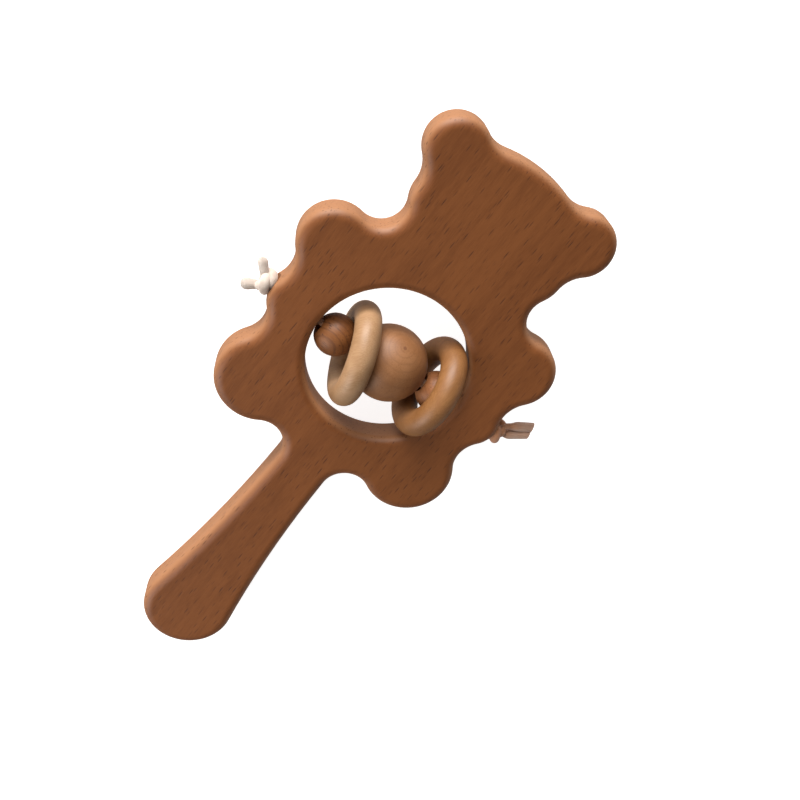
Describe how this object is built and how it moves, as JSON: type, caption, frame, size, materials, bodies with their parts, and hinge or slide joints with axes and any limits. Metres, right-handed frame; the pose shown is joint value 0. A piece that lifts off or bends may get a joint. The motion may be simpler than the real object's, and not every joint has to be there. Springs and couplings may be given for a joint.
{
  "type": "baby rattle",
  "caption": "Flat wooden bear-shaped baby rattle with a paddle handle and a round window crossed by a doubled cord that carries drilled beads and loose turned rings.",
  "frame": {"origin": "centre of the round window, at the board's mid-thickness, where the cord's line crosses the window's axis", "axes": "+Y towards the head, -Y down the handle, +Z out of the face, X along the cord"},
  "size_m": [0.0757, 0.145, 0.0242],
  "materials": {
    "board_wood": "oiled beech, warm brown",
    "bead_wood": "oiled beech, warm brown",
    "ring_wood": "oiled maple, light",
    "cord_cotton": "twisted cotton, off-white"
  },
  "bodies": {
    "board": {"board": "board_wood", "cord_upper": "cord_cotton", "cord_lower": "cord_cotton", "knot_left": "cord_cotton", "knot_right": "cord_cotton"},
    "big_bead": {"big_bead": "bead_wood"},
    "small_bead_left": {"small_bead_left": "bead_wood"},
    "small_bead_right": {"small_bead_right": "bead_wood"},
    "ring_left": {"ring_left": "ring_wood"},
    "ring_right": {"ring_right": "ring_wood"}
  },
  "joints": [
    {"name": "big_bead_spin", "type": "hinge", "parent": "board", "child": "big_bead", "pos_m": [0.00085, -0.0003, 0.0003], "axis": [1, 0, 0], "continuous": true},
    {"name": "small_bead_left_spin", "type": "hinge", "parent": "board", "child": "small_bead_left", "pos_m": [-0.01265, -0.00175, 0.0001], "axis": [1, 0, 0], "continuous": true},
    {"name": "small_bead_right_spin", "type": "hinge", "parent": "board", "child": "small_bead_right", "pos_m": [0.0141, 0, 0], "axis": [1, 0, 0], "continuous": true},
    {"name": "ring_left_swing", "type": "hinge", "parent": "board", "child": "ring_left", "pos_m": [-0.01265, -0.00175, 0.0001], "axis": [0.9942, 0.1068, 0.0147], "continuous": true},
    {"name": "ring_right_spin", "type": "hinge", "parent": "board", "child": "ring_right", "pos_m": [0.0113, 0.0007, 0.00135], "axis": [0.9874, 0.0414, -0.153], "continuous": true}
  ]
}
